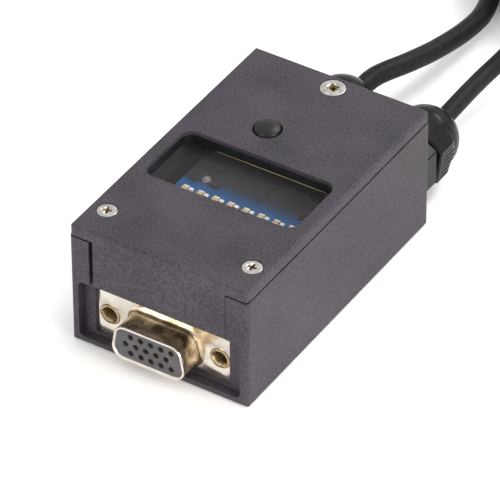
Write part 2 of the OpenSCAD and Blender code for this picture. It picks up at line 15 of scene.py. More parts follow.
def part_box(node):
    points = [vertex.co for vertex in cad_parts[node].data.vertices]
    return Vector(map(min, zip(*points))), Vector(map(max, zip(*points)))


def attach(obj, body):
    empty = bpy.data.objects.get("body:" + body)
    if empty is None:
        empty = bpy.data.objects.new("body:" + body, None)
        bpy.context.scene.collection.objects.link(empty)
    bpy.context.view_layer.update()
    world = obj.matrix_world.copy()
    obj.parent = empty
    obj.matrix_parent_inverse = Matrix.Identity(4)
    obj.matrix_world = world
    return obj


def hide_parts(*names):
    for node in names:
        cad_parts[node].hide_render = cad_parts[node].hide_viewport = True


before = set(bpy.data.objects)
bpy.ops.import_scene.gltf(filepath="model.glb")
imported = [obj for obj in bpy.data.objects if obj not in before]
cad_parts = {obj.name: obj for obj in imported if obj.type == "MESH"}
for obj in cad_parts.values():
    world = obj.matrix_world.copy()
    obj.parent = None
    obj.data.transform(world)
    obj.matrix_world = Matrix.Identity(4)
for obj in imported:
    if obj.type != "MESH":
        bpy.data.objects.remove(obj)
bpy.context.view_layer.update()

MM = 0.001
TAU = 2 * math.pi
scene = bpy.context.scene
print("parts loaded:", len(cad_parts))

# %% [markdown]
# ## Camera
# A long lens from far away keeps the box's edges nearly parallel. The camera is turned round
# the box by its azimuth, raised by its elevation and rolled by a fraction of a degree. Its
# axes are worked out by cross products, so no step depends on a tracking constraint.

# %% Camera
AZIMUTH = math.radians(32.444)
ELEVATION = math.radians(38.811)
ROLL = math.radians(-0.396)
CAMERA_DISTANCE = 1009.3 * MM
CAMERA_LENS = 374.8
AIM_HEIGHT = 14 * MM
FRAME_SHIFT = (-0.42 * MM, -5.24 * MM)


def make_camera():
    """A camera whose picture has the box's middle a little above its centre."""
    forward = Vector((
        -math.sin(AZIMUTH) * math.cos(ELEVATION),
        math.cos(AZIMUTH) * math.cos(ELEVATION),
        -math.sin(ELEVATION),
    ))
    level = Vector((math.cos(AZIMUTH), math.sin(AZIMUTH), 0))
    above = level.cross(forward)
    right = math.cos(ROLL) * level + math.sin(ROLL) * above
    up = -math.sin(ROLL) * level + math.cos(ROLL) * above
    aim = Vector((0, 0, AIM_HEIGHT)) + FRAME_SHIFT[0] * right + FRAME_SHIFT[1] * up
    place = aim - forward * CAMERA_DISTANCE
    camera = bpy.data.objects.new("camera", bpy.data.cameras.new("camera"))
    camera.data.lens = CAMERA_LENS
    camera.data.sensor_width = 36
    camera.data.clip_start = 0.05
    camera.data.clip_end = 20
    turn = Matrix((right, up, -forward)).transposed().to_4x4()
    camera.matrix_world = Matrix.Translation(place) @ turn
    scene.collection.objects.link(camera)
    scene.camera = camera
    return camera


camera = make_camera()
print("camera at", [round(v, 3) for v in camera.matrix_world.translation])

# %% [markdown]
# ## Cables
# Each cable is a curve with a round bevel. It leaves its gland straight, sinks to the table,
# winds through a coil of two layers and ends in its plug. The loose stretch is a short list
# of points; the coil is a formula, because its turns lie exactly a diameter apart. The same
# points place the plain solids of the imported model, so both agree.

# %% Cable routes
LEFT_D = 4.2
RIGHT_D = 3.8
COIL_CENTRE = (10, 126)
COIL_OUT = 25.9
COIL_IN = 17.2
LEFT_LOW, LEFT_HIGH = 2.6, 7.0
RIGHT_LOW, RIGHT_HIGH = 11.05, 15.05
LEFT_ROUTE = [
    (-8, 47.5, 8.7), (-8, 51.5, 8.7), (-8, 56, 8.9), (-7.5, 59, 9), (-6.5, 62, 8.9),
    (-5, 67, 8.2), (-3.6, 75, 6.7), (-2.9, 84, 5.1), (-2.9, 90, 4.2), (-3.4, 95, 3.6),
    (-5.2, 101, 3), (-8.4, 107, 2.7), (-11.8, 112, 2.6),
]
RIGHT_ROUTE = [
    (11.3, 47.5, 8.7), (11.3, 51.5, 8.7), (11.2, 56, 8.9), (11.1, 60, 8.9), (10.9, 63.5, 8.7),
    (10.7, 67, 8.4), (10.6, 71, 8.2), (11.1, 75, 8.7), (12, 80, 9.8), (13.2, 85, 11.4),
    (15, 90.5, 13.2), (18, 97, 14.6), (22.9, 102.6, 14.9),
]
LEFT_END = [(-15.9, 131, 6.98), (-15.9, 136, 6.8), (-15.9, 143.5, 6.5), (-15.9, 147, 6.38)]
RIGHT_END = [(35.9, 131, 11.05), (35.9, 137, 11.08), (35.9, 143.5, 10.9), (35.9, 147, 10.3)]
STEPS_PER_TURN = 24


def coil_points(start, turn, z_first, z_last):
    """Points of a two-layer coil: inwards on one layer, then outwards on the other."""
    count = max(2, round(abs(turn) / 360 * STEPS_PER_TURN))
    climb = 45 / abs(turn)
    found = []
    for i in range(count + 1):
        share = i / count
        angle = math.radians(start + turn * share)
        radius = COIL_OUT - (COIL_OUT - COIL_IN) * (1 - abs(2 * share - 1))
        lift = min(1, max(0, (share - 0.5 + climb) / (2 * climb)))
        lift = lift * lift * (3 - 2 * lift)
        found.append((
            COIL_CENTRE[0] + radius * math.cos(angle),
            COIL_CENTRE[1] + radius * math.sin(angle),
            z_first + (z_last - z_first) * lift,
        ))
    return found


def smooth_line(points, steps=4):
    """A Catmull-Rom line through the points, in metres."""
    p = [Vector(q) * MM for q in points]
    p = [2 * p[0] - p[1], *p, 2 * p[-1] - p[-2]]
    line = []
    for a, b, c, d in zip(p, p[1:], p[2:], p[3:]):
        for k in range(steps):
            t = k / steps
            line.append(0.5 * (
                2 * b + (c - a) * t + (2 * a - 5 * b + 4 * c - d) * t * t
                + (3 * b - a - 3 * c + d) * t ** 3
            ))
    return [*line, p[-2]]


def make_cable(name, points, diameter):
    """A round cable along the points, and the length of its centreline."""
    line = smooth_line(points)
    data = bpy.data.curves.new(name, "CURVE")
    data.dimensions = "3D"
    data.bevel_depth = diameter * MM / 2
    data.bevel_resolution = 6
    data.use_fill_caps = True
    spline = data.splines.new("POLY")
    spline.points.add(len(line) - 1)
    for point, place in zip(spline.points, line):
        point.co = (*place, 1)
    cable = bpy.data.objects.new(name, data)
    scene.collection.objects.link(cable)
    length = sum((b - a).length for a, b in zip(line, line[1:]))
    print(f"{name}: {length:.3f} m of {diameter} mm cable")
    return cable, length


left_points = LEFT_ROUTE + coil_points(200, -1460, LEFT_LOW, LEFT_HIGH) + LEFT_END
right_points = RIGHT_ROUTE + coil_points(-45, 1485, RIGHT_HIGH, RIGHT_LOW) + RIGHT_END
left_cable, left_length = make_cable("left_cable_run", left_points, LEFT_D)
right_cable, right_length = make_cable("right_cable_run", right_points, RIGHT_D)

# %% [markdown]
# ## Building helpers
# Turned parts, such as nuts, plugs and caps, come from one outline swung round an axis. A
# part that is nearly right already only needs its edges broken: `softened` copies a CAD mesh,
# merges its flat faces and adds a narrow bevel, which catches the light as a real edge does.

# %% Piece and mesh helpers
def link_mesh(name, mesh, body, material, *nodes):
    """Shows a mesh as one piece that rides on a body and stands for the named nodes."""
    piece = bpy.data.objects.new(name, mesh)
    scene.collection.objects.link(piece)
    mesh.materials.append(material)
    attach(piece, body)
    if nodes:
        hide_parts(*nodes)
    return piece


def finish_mesh(name, bm, smooth=30):
    """Turns a bmesh into a mesh with outward normals, smooth except at sharp corners."""
    bmesh.ops.recalc_face_normals(bm, faces=bm.faces)
    limit = math.radians(smooth)
    for face in bm.faces:
        face.smooth = True
    for edge in bm.edges:
        edge.smooth = not edge.is_manifold or edge.calc_face_angle(0) < limit
    mesh = bpy.data.meshes.new(name)
    bm.to_mesh(mesh)
    bm.free()
    return mesh


def bridge(bm, first, second):
    """Joins two closed loops of equal count by a ring of faces."""
    for k in range(len(first)):
        n = (k + 1) % len(first)
        bm.faces.new([first[k], first[n], second[n], second[k]])


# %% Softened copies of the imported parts
FLAT_ANGLE = math.radians(0.6)


def add_bevel(piece, width, segments=2):
    """A narrow bevel on the sharp edges of a piece, with its width in millimetres."""
    bevel = piece.modifiers.new("broken edges", "BEVEL")
    bevel.width = width * MM
    bevel.segments = segments
    return bevel


def softened(name, node, width, body, material, segments=3, angle=30):
    """A copy of a CAD node's mesh with its corners rounded by a bevel."""
    bm = bmesh.new()
    bm.from_mesh(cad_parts[node].data)
    bmesh.ops.remove_doubles(bm, verts=bm.verts, dist=1e-6)
    bmesh.ops.dissolve_limit(bm, angle_limit=FLAT_ANGLE, verts=bm.verts, edges=bm.edges)
    piece = link_mesh(name, finish_mesh(name, bm), body, material, node)
    bevel = add_bevel(piece, width, segments)
    bevel.limit_method = "ANGLE"
    bevel.angle_limit = math.radians(angle)
    bevel.harden_normals = True
    bevel.use_clamp_overlap = True
    print(name, "softened by", width, "mm")
    return piece


# %% Turned parts
def turned(outline, frame_matrix, steps=64, radius=None):
    """A bmesh swung round local +Z from (radius, height) points in millimetres.

    `radius`, if given, is a function that varies the reach by height and angle.
    """
    bm = bmesh.new()
    rings = []
    for r, h in outline:
        if r == 0:
            rings.append([bm.verts.new((0, 0, h * MM))])
            continue
        ring = []
        for k in range(steps):
            angle = TAU * k / steps
            reach = radius(r, h, angle) if radius else r
            x, y = reach * MM * math.cos(angle), reach * MM * math.sin(angle)
            ring.append(bm.verts.new((x, y, h * MM)))
        rings.append(ring)
    for low, high in zip(rings, rings[1:]):
        for k in range(steps):
            n = (k + 1) % steps
            corners = [low[k % len(low)], low[n % len(low)], high[n % len(high)], high[k % len(high)]]
            corners = list(dict.fromkeys(corners))
            if len(corners) > 2:
                bm.faces.new(corners)
    if outline[0] == outline[-1]:
        bmesh.ops.remove_doubles(bm, verts=bm.verts, dist=1e-7)
    bmesh.ops.transform(bm, matrix=frame_matrix, verts=bm.verts)
    return bm


def along_y(x, y, z, tilt=0):
    """The frame of a part turned about an axis along +Y, dipping by tilt degrees."""
    place = Matrix.Translation(Vector((x, y, z)) * MM)
    return place @ Matrix.Rotation(math.radians(-90 - tilt), 4, "X")


def rounded(points, radius, steps=4):
    """An outline with each corner but its two ends rounded by a short quadratic curve."""
    found = [points[0]]
    for a, b, c in zip(points, points[1:], points[2:]):
        a, b, c = Vector(a), Vector(b), Vector(c)
        cut = min(radius, (b - a).length * 0.45, (c - b).length * 0.45)
        p = b + (a - b).normalized() * cut
        q = b + (c - b).normalized() * cut
        for k in range(steps + 1):
            t = k / steps
            found.append(tuple((1 - t) ** 2 * p + 2 * t * (1 - t) * b + t * t * q))
    return [*found, points[-1]]


trial = rounded([(0, 0), (1, 0), (1, 1), (0, 1)], 0.2)
print("an outline of four points, rounded, has", len(trial), "points")


# %% [markdown]
# ## Shared effects
# Moulded plastic, metal and rubber all vary over their surface. One node group makes a tone,
# a roughness and a height from two noises, one fine and one broad, so each material only
# chooses its own scales and colours. The Principled shader stays in each material.

# %% Shared effects
def group_input(group, name, kind, value):
    """Adds a named input with a starting value to a node group."""
    socket = group.interface.new_socket(name=name, in_out="INPUT", socket_type=kind)
    socket.default_value = value
    return socket


def make_grain_group():
    """Colour, roughness and height that vary with fine grain and broad patches."""
    group = bpy.data.node_groups.new("surface grain", "ShaderNodeTree")
    group_input(group, "Light colour", "NodeSocketColor", (0.5, 0.5, 0.5, 1))
    group_input(group, "Dark colour", "NodeSocketColor", (0.2, 0.2, 0.2, 1))
    group_input(group, "Grain scale", "NodeSocketFloat", 900)
    group_input(group, "Patch scale", "NodeSocketFloat", 40)
    group_input(group, "Roughness", "NodeSocketFloat", 0.5)
    group_input(group, "Roughness spread", "NodeSocketFloat", 0.1)
    group.interface.new_socket(name="Colour", in_out="OUTPUT", socket_type="NodeSocketColor")
    for name in ("Roughness", "Height"):
        group.interface.new_socket(name=name, in_out="OUTPUT", socket_type="NodeSocketFloat")
    nodes, links = group.nodes, group.links
    source, result = nodes.new("NodeGroupInput"), nodes.new("NodeGroupOutput")
    place = nodes.new("ShaderNodeTexCoord")
    grain, patch = nodes.new("ShaderNodeTexNoise"), nodes.new("ShaderNodeTexNoise")
    grain.inputs["Detail"].default_value = 4
    patch.inputs["Detail"].default_value = 3
    links.new(place.outputs["Object"], grain.inputs["Vector"])
    links.new(place.outputs["Object"], patch.inputs["Vector"])
    links.new(source.outputs["Grain scale"], grain.inputs["Scale"])
    links.new(source.outputs["Patch scale"], patch.inputs["Scale"])
    both = nodes.new("ShaderNodeMath")
    both.operation = "MULTIPLY_ADD"
    both.inputs[1].default_value = 0.65
    links.new(grain.outputs["Fac"], both.inputs[0])
    part = nodes.new("ShaderNodeMath")
    part.operation = "MULTIPLY"
    part.inputs[1].default_value = 0.35
    links.new(patch.outputs["Fac"], part.inputs[0])
    links.new(part.outputs[0], both.inputs[2])
    spread = nodes.new("ShaderNodeMapRange")
    spread.inputs["From Min"].default_value = 0.36
    spread.inputs["From Max"].default_value = 0.64
    links.new(both.outputs[0], spread.inputs["Value"])
    tone = nodes.new("ShaderNodeMix")
    tone.data_type = "RGBA"
    links.new(spread.outputs["Result"], tone.inputs["Factor"])
    links.new(source.outputs["Dark colour"], tone.inputs["A"])
    links.new(source.outputs["Light colour"], tone.inputs["B"])
    rough = nodes.new("ShaderNodeMath")
    rough.operation = "MULTIPLY_ADD"
    centred = nodes.new("ShaderNodeMath")
    centred.operation = "SUBTRACT"
    centred.inputs[1].default_value = 0.5
    links.new(patch.outputs["Fac"], centred.inputs[0])
    links.new(centred.outputs[0], rough.inputs[0])
    links.new(source.outputs["Roughness spread"], rough.inputs[1])
    links.new(source.outputs["Roughness"], rough.inputs[2])
    links.new(tone.outputs["Result"], result.inputs["Colour"])
    links.new(rough.outputs[0], result.inputs["Roughness"])
    links.new(grain.outputs["Fac"], result.inputs["Height"])
    return group


GRAIN = make_grain_group()
print("node group:", GRAIN.name, "with", len(GRAIN.nodes), "nodes")


# %% A material from the grain group
def finish(
    name, light, dark, grain, patch, rough, spread=0.2, bump=0.2, depth=0.02,
    metal=0.0, coat=0.0, ior=1.5, gloss=0.5,
):
    """A material whose colour, roughness and height come from the grain group."""
    material = bpy.data.materials.new(name)
    material.use_nodes = True
    nodes, links = material.node_tree.nodes, material.node_tree.links
    shader = nodes["Principled BSDF"]
    surface = nodes.new("ShaderNodeGroup")
    surface.node_tree = GRAIN
    values = {
        "Light colour": (*light, 1), "Dark colour": (*dark, 1), "Grain scale": grain,
        "Patch scale": patch, "Roughness": rough, "Roughness spread": spread,
    }
    for key, value in values.items():
        surface.inputs[key].default_value = value
    relief = nodes.new("ShaderNodeBump")
    relief.inputs["Strength"].default_value = bump
    relief.inputs["Distance"].default_value = depth * MM
    links.new(surface.outputs["Height"], relief.inputs["Height"])
    links.new(relief.outputs["Normal"], shader.inputs["Normal"])
    links.new(surface.outputs["Colour"], shader.inputs["Base Color"])
    links.new(surface.outputs["Roughness"], shader.inputs["Roughness"])
    shader.inputs["Metallic"].default_value = metal
    shader.inputs["Coat Weight"].default_value = coat
    shader.inputs["IOR"].default_value = ior
    shader.inputs["Specular IOR Level"].default_value = gloss
    return material


# %% [markdown]
# ## Finishes
# The case is charcoal plastic with a fine spark-eroded texture and a violet cast. The glands
# are satin black nylon and the cables have a duller black sheath. The socket is nickel plate;
# on the shroud its mottled brown and gold are painted reflections of warm and dark
# surroundings. Each finish is the same group with its own two tones, scales and roughness. A
# lower `gloss` keeps a black from greying under a white surround.

# %% Finishes of the plastics and rubber
case_plastic = finish(
    "charcoal moulding", light=(0.056, 0.047, 0.060), dark=(0.011, 0.009, 0.013),
    grain=2300, patch=70, rough=0.6, spread=0.25, bump=0.7, depth=0.04, ior=1.4,
)
button_black = finish(
    "black button", light=(0.012, 0.011, 0.012), dark=(0.006, 0.005, 0.006),
    grain=1500, patch=80, rough=0.42, spread=0.2, bump=0.2, depth=0.02, ior=1.33,
)
nylon_black = finish(
    "satin nylon", light=(0.010, 0.009, 0.010), dark=(0.004, 0.004, 0.004),
    grain=900, patch=120, rough=0.28, spread=0.25, bump=0.1, depth=0.01, ior=1.3, gloss=0.3,
)
sheath_black = finish(
    "cable sheath", light=(0.016, 0.0145, 0.014), dark=(0.007, 0.0065, 0.006),
    grain=700, patch=90, rough=0.5, spread=0.25, bump=0.12, depth=0.015, ior=1.3, gloss=0.22,
)
seal_rubber = finish(
    "seal rubber", light=(0.02, 0.02, 0.02), dark=(0.01, 0.01, 0.01),
    grain=900, patch=100, rough=0.7, spread=0.2, bump=0.3, depth=0.03,
)
print("plastics:", case_plastic.name, button_black.name, nylon_black.name, sheath_black.name)

# %% Finishes of the metals
screw_steel = finish(
    "zinc screw", light=(0.66, 0.64, 0.6), dark=(0.4, 0.38, 0.35),
    grain=1100, patch=250, rough=0.3, spread=0.3, bump=0.25, depth=0.02, metal=1,
)
nickel = finish(
    "nickel plate", light=(0.86, 0.82, 0.74), dark=(0.68, 0.63, 0.54),
    grain=500, patch=120, rough=0.2, spread=0.25, bump=0.15, depth=0.02, metal=1,
)
# The shroud's plate: its mottled gold and near-black are painted reflections of warm and dark surroundings.
shroud_reflection_plate = finish(
    "plate with painted reflections", light=(0.9, 0.7, 0.46), dark=(0.14, 0.09, 0.05),
    grain=420, patch=260, rough=0.24, spread=0.3, bump=0.2, depth=0.02, metal=0.9,
)
insert_plate = finish(
    "insert plate", light=(0.7, 0.57, 0.38), dark=(0.28, 0.18, 0.09),
    grain=260, patch=120, rough=0.22, spread=0.25, bump=0.15, depth=0.02, metal=1,
)
# Dark brown metal for recesses and bores: a painted shade with a warm painted reflection.
recess_shade_brown = finish(
    "painted recess shade", light=(0.25, 0.17, 0.08), dark=(0.09, 0.055, 0.025),
    grain=900, patch=150, rough=0.4, spread=0.3, bump=0.25, depth=0.02, metal=1,
)
gold_plate = finish(
    "gold flash", light=(0.85, 0.62, 0.26), dark=(0.55, 0.36, 0.12),
    grain=800, patch=200, rough=0.28, spread=0.2, bump=0.15, depth=0.01, metal=1,
)
print("metals:", screw_steel.name, nickel.name, shroud_reflection_plate.name, insert_plate.name)

# %% Finishes of the electronics
insulator_grey = finish(
    "dark insulator", light=(0.075, 0.07, 0.072), dark=(0.04, 0.038, 0.04),
    grain=1300, patch=150, rough=0.5, spread=0.2, bump=0.3, depth=0.02,
)
chip_black = finish(
    "chip moulding", light=(0.03, 0.03, 0.032), dark=(0.014, 0.014, 0.016),
    grain=1500, patch=200, rough=0.5, spread=0.2, bump=0.3, depth=0.01,
)
ceramic_brown = finish(
    "ceramic chip", light=(0.06, 0.04, 0.025), dark=(0.03, 0.02, 0.012),
    grain=1500, patch=300, rough=0.45, spread=0.2, bump=0.2, depth=0.01,
)
white_nylon = finish(
    "white moulding", light=(0.8, 0.78, 0.72), dark=(0.66, 0.64, 0.58),
    grain=900, patch=100, rough=0.45, spread=0.2, bump=0.2, depth=0.02,
)
ribbon_grey = finish(
    "grey ribbon", light=(0.34, 0.35, 0.37), dark=(0.22, 0.23, 0.25),
    grain=600, patch=80, rough=0.5, spread=0.2, bump=0.3, depth=0.03,
)
core_red = finish(
    "core insulation", light=(0.55, 0.12, 0.06), dark=(0.4, 0.07, 0.03),
    grain=600, patch=80, rough=0.4, spread=0.2, bump=0.2, depth=0.02,
)
led_white = finish(
    "LED lens", light=(0.97, 0.96, 0.92), dark=(0.85, 0.83, 0.76),
    grain=1200, patch=300, rough=0.25, spread=0.2, bump=0.1, depth=0.01,
)
lamp_grey = finish(
    "lamp body", light=(0.5, 0.48, 0.44), dark=(0.15, 0.14, 0.13),
    grain=1200, patch=900, rough=0.3, spread=0.2, bump=0.2, depth=0.02,
)
led_tan = finish(
    "LED reflector", light=(0.82, 0.6, 0.36), dark=(0.5, 0.34, 0.18),
    grain=1500, patch=300, rough=0.35, spread=0.2, bump=0.2, depth=0.01,
)
print("electronics:", insulator_grey.name, chip_black.name, led_white.name, led_tan.name)

# %% Finishes round the window
# Black for the sheet on the window opening's walls: a painted shade.
shade_sheet_black = finish(
    "window painted shade", light=(0.012, 0.011, 0.012), dark=(0.006, 0.006, 0.006),
    grain=900, patch=90, rough=0.35, spread=0.2, bump=0.1, depth=0.01, ior=1.35,
)
# Gold for the strip on the pane's rear edge: a painted glint of light.
glint_gold = finish(
    "painted pane glint", light=(0.55, 0.42, 0.22), dark=(0.25, 0.18, 0.08),
    grain=900, patch=200, rough=0.35, spread=0.2, bump=0.1, depth=0.01,
)
print("window:", shade_sheet_black.name, glint_gold.name)

# %% [markdown]
# ## The board and the window sheet
# The board needs more than one finish: a faint net of tracks under the solder mask, and a
# painted shadow of the lid, which is a smooth change along Y from blue at the LEDs to dark grey
# behind them. A brick texture gives the tracks and a mapped Y coordinate gives the painted
# shadow. The window is a thin smoked sheet, so a low alpha is enough: it needs no refraction.

# %% Board and window sheet
# Painted shadow of the lid: the board is blue up to the first Y and dark grey from the second, in
# millimetres.
LIT_UNTIL_Y, SHADE_FROM_Y = -3.9, 0.6
TRACK_SHARE = 0.35
WINDOW_ALPHA = 0.12


def board_blue_painted_shade():
    """Blue solder mask with tracks under it, and a painted shadow that fades it to dark grey behind the row
    of LEDs.
    """
    material = finish(
        "blue board with painted shade", light=(0.003, 0.125, 0.34), dark=(0.001, 0.068, 0.22),
        grain=300, patch=60, rough=0.28, spread=0.15, bump=0.15, depth=0.01, coat=0.2,
    )
    nodes, links = material.node_tree.nodes, material.node_tree.links
    shader = nodes["Principled BSDF"]
    surface = next(n for n in nodes if n.type == "GROUP")
    place, tracks = nodes.new("ShaderNodeTexCoord"), nodes.new("ShaderNodeTexBrick")
    tracks.inputs["Scale"].default_value = 160
    tracks.inputs["Mortar Size"].default_value = 0.02
    tracks.inputs["Color1"].default_value = (0, 0, 0, 1)
    tracks.inputs["Color2"].default_value = (0.05, 0.05, 0.05, 1)
    tracks.inputs["Mortar"].default_value = (1, 1, 1, 1)
    links.new(place.outputs["Object"], tracks.inputs["Vector"])
    mix = nodes.new("ShaderNodeMix")
    mix.data_type = "RGBA"
    mix.inputs["B"].default_value = (0.012, 0.115, 0.27, 1)
    share = nodes.new("ShaderNodeMath")
    share.operation = "MULTIPLY"
    share.inputs[1].default_value = TRACK_SHARE
    links.new(tracks.outputs["Color"], share.inputs[0])
    links.new(share.outputs[0], mix.inputs["Factor"])
    links.new(surface.outputs["Colour"], mix.inputs["A"])
    # Painted shadow: a ramp along Y mixes the board's colour towards dark grey behind the LEDs.
    split, depth = nodes.new("ShaderNodeSeparateXYZ"), nodes.new("ShaderNodeMapRange")
    links.new(place.outputs["Object"], split.inputs["Vector"])
    links.new(split.outputs["Y"], depth.inputs["Value"])
    depth.interpolation_type = "SMOOTHSTEP"
    depth.inputs["From Min"].default_value = LIT_UNTIL_Y * MM
    depth.inputs["From Max"].default_value = SHADE_FROM_Y * MM
    dark = nodes.new("ShaderNodeMix")
    dark.data_type = "RGBA"
    dark.inputs["B"].default_value = (0.05, 0.05, 0.055, 1)
    links.new(depth.outputs["Result"], dark.inputs["Factor"])
    links.new(mix.outputs["Result"], dark.inputs["A"])
    links.new(dark.outputs["Result"], shader.inputs["Base Color"])
    return material


def clear_sheet():
    """Thin smoked plastic: mostly see-through, with its own gloss and a trace of haze."""
    material = finish(
        "clear window", light=(0.11, 0.105, 0.11), dark=(0.09, 0.085, 0.09),
        grain=1400, patch=90, rough=0.03, spread=0.02, bump=0.0, depth=0.001,
    )
    material.node_tree.nodes["Principled BSDF"].inputs["Alpha"].default_value = WINDOW_ALPHA
    return material


pcb_blue = board_blue_painted_shade()
pane_clear = clear_sheet()
print("finishes:", len(bpy.data.materials))

# %% [markdown]
# ## Case, lid and the parts that keep their CAD shape
# Both shells and the tie already have the right shape, so they only get broken edges. The
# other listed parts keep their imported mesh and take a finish, set once for each group of nodes.

# %% Case and plain parts
softened("case_base_shell", "case_base", 0.3, "case", case_plastic)
softened("lid_shell", "lid", 0.3, "case", case_plastic)
softened("tie_strap", "cable_tie", 0.15, "case", nylon_black)

KEPT = {
    pane_clear: ["window_pane"],
    pcb_blue: ["pcb"],
    screw_steel: ["pcb_screws", "switch_dome"],
    chip_black: ["controller_chip", "voltage_regulator", "switch_body", "ribbon_header"],
    ceramic_brown: ["chip_capacitors"],
    white_nylon: ["switch_plunger", "left_cable_header", "right_cable_header"],
    insulator_grey: ["connector_insulator", "left_plug_insert", "right_plug_insert"],
    gold_plate: ["connector_contacts", "left_plug_pins", "right_plug_pins"],
    ribbon_grey: ["ribbon_cable"],
    core_red: ["left_cable_cores", "right_cable_cores"],
    sheath_black: ["left_cable_tail", "right_cable_tail"],
    nylon_black: ["left_gland_locknut", "right_gland_locknut"],
    seal_rubber: ["left_gland_gasket", "right_gland_gasket", "left_gland_seal", "right_gland_seal"],
}
for material, nodes in KEPT.items():
    for node in nodes:
        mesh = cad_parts[node].data
        mesh.materials.clear()
        mesh.materials.append(material)
print("parts that keep their packed mesh:", sum(len(nodes) for nodes in KEPT.values()))

# %% [markdown]
# ## Screws
# A countersunk head is turned on a lathe and then struck with a cross. Each blade of the cross
# is cut by its own boolean, because one cutter made of crossing blades can fail. A blade
# narrows downwards, like the driver's tip. The larger rear screw has four blades: the cross
# and a smaller one at 45 degrees. The cutter's brown, a painted shade with a warm painted
# reflection inside the recess, passes to the walls that it cuts.

# %% Cutting helpers
BLADE_THICKNESS = 0.26
BLADE_TAPER = 0.55


def place_of(node):
    """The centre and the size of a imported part, in millimetres."""
    low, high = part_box(node)
    return (low + high) / 2 / MM, (high - low) / MM


def wedge(size, depth, turn):
    """One blade of the driver's tip, wide at the top, turned about Z."""
    bm = bmesh.new()
    for v in bmesh.ops.create_cube(bm, size=1)["verts"]:
        narrow = BLADE_TAPER if v.co.z < 0 else 1
        along, across = v.co.x * size * narrow, v.co.y * size * BLADE_THICKNESS * narrow
        v.co = Vector((along, across, v.co.z * 2 * depth)) * MM
        v.co.rotate(Matrix.Rotation(math.radians(turn), 3, "Z"))
    return bm


def cut(piece, cutter_mesh):
    """Subtracts a mesh from a piece and applies the result."""
    cutter = bpy.data.objects.new("cutter", cutter_mesh)
    scene.collection.objects.link(cutter)
    tool = piece.modifiers.new("cut", "BOOLEAN")
    tool.object = cutter
    tool.operation = "DIFFERENCE"
    tool.solver = "EXACT"
    tool.material_mode = "TRANSFER"
    bpy.context.view_layer.update()
    graph = bpy.context.evaluated_depsgraph_get()
    made = bpy.data.meshes.new_from_object(piece.evaluated_get(graph))
    piece.modifiers.remove(tool)
    piece.data = made
    bpy.data.objects.remove(cutter)


# %% Screws
CROSS = ((0, 1), (90, 1))
CROSS_AND_STAR = (*CROSS, (45, 0.7), (135, 0.7))
HEAD_RIM = 0.36
HEAD_SINK = 0.05


def make_screw(name, x, y, head, shank, long, top, spin, blades=CROSS):
    """One countersunk screw with its head's top at height top."""
    turn = Matrix.Rotation(math.radians(spin), 4, "Z")
    frame_at = Matrix.Translation(Vector((x, y, top)) * MM) @ turn
    r = head / 2
    outline = rounded([
        (0, 0.0), (r * 0.62, 0.0), (r * 0.96, -0.06), (r, -0.2), (r, -HEAD_RIM),
        (shank / 2, -HEAD_RIM - r + shank / 2), (shank / 2, -long), (0, -long),
    ], 0.08)
    bm = turned(outline, frame_at)
    piece = link_mesh(name, finish_mesh(name, bm, 40), "case", screw_steel)
    for angle, share in blades:
        tool = wedge(head * 0.6 * share, head * 0.2, angle)
        bmesh.ops.transform(tool, matrix=frame_at, verts=tool.verts)
        cutter = finish_mesh("cross", tool)
        # The recess walls take the brown painted shade.
        cutter.materials.append(recess_shade_brown)
        cut(piece, cutter)
    print(name, "cut by", len(blades), "blades")
    return piece


lid_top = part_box("lid")[1].z / MM
front_centre, front_size = place_of("lid_screws_front")
rear_centre, rear_size = place_of("lid_screw_rear")
front_reach = (front_size.x - front_size.y) / 2
for side, spin in ((-1, 20), (1, 3)):
    label = "left" if side < 0 else "right"
    screw = make_screw(
        f"lid_screw_{label}", front_centre.x + side * front_reach, front_centre.y,
        front_size.y, 2.2, front_size.z, lid_top - HEAD_SINK, spin,
    )
    if side < 0:
        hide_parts("lid_screws_front")
rear_screw = make_screw(
    "lid_screw_back", rear_centre.x, rear_centre.y, rear_size.x, 2.8, rear_size.z,
    lid_top - HEAD_SINK, 38, CROSS_AND_STAR,
)
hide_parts("lid_screw_rear")

# %% [markdown]
# ## Button
# The cap is turned, with a soft shoulder, and rides on the button's own body so that it sinks
# when the joint moves.

# %% Button
cap_low, cap_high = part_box("button_cap")
cap_x, cap_y = (cap_low.x + cap_high.x) / 2 / MM, (cap_low.y + cap_high.y) / 2 / MM
cap_top, cap_foot = cap_high.z / MM, cap_low.z / MM
CAP_R = 2.7
CAP_FLANGE_R = (cap_high.x - cap_low.x) / 2 / MM
CAP_FLANGE_H = 0.6
cap_outline = rounded([
    (0, cap_top), (CAP_R * 0.5, cap_top - 0.12), (CAP_R * 0.93, cap_top - 0.5),
    (CAP_R, cap_top - 0.95), (CAP_R, cap_foot + CAP_FLANGE_H),
    (CAP_FLANGE_R, cap_foot + CAP_FLANGE_H), (CAP_FLANGE_R, cap_foot), (0, cap_foot),
], 0.3)
cap_frame = Matrix.Translation(Vector((cap_x, cap_y, 0)) * MM)
button_mesh = finish_mesh("button_dome", turned(cap_outline, cap_frame), 50)
link_mesh("button_dome", button_mesh, "button", button_black, "button_cap")
print("button cap:", 2 * CAP_R, "mm across, on a flange of", round(2 * CAP_FLANGE_R, 2), "mm")

# %% [markdown]
# ## Socket
# The shroud is one strip of metal drawn into a D. It is lofted here: the same D outline is
# repeated along its length, growing at the root where the metal flares into the flange and
# rolling over at the mouth, where a separate brighter rim lies on it. The flange is a plate
# with round corners, cut for the D and for the two jack-screw inserts.

# %% The D outline
SHROUD_W, SHROUD_H, SHROUD_R = 16.3, 7.9, 2.6
SHROUD_SLOPE = math.radians(10)
shell_low, shell_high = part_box("connector_shell")
socket_x = (shell_low.x + shell_high.x) / 2 / MM
socket_z = 6.85
mouth_y = shell_low.y / MM
ROOT_Y = mouth_y + 6.1
INSERT_REACH = 12.5


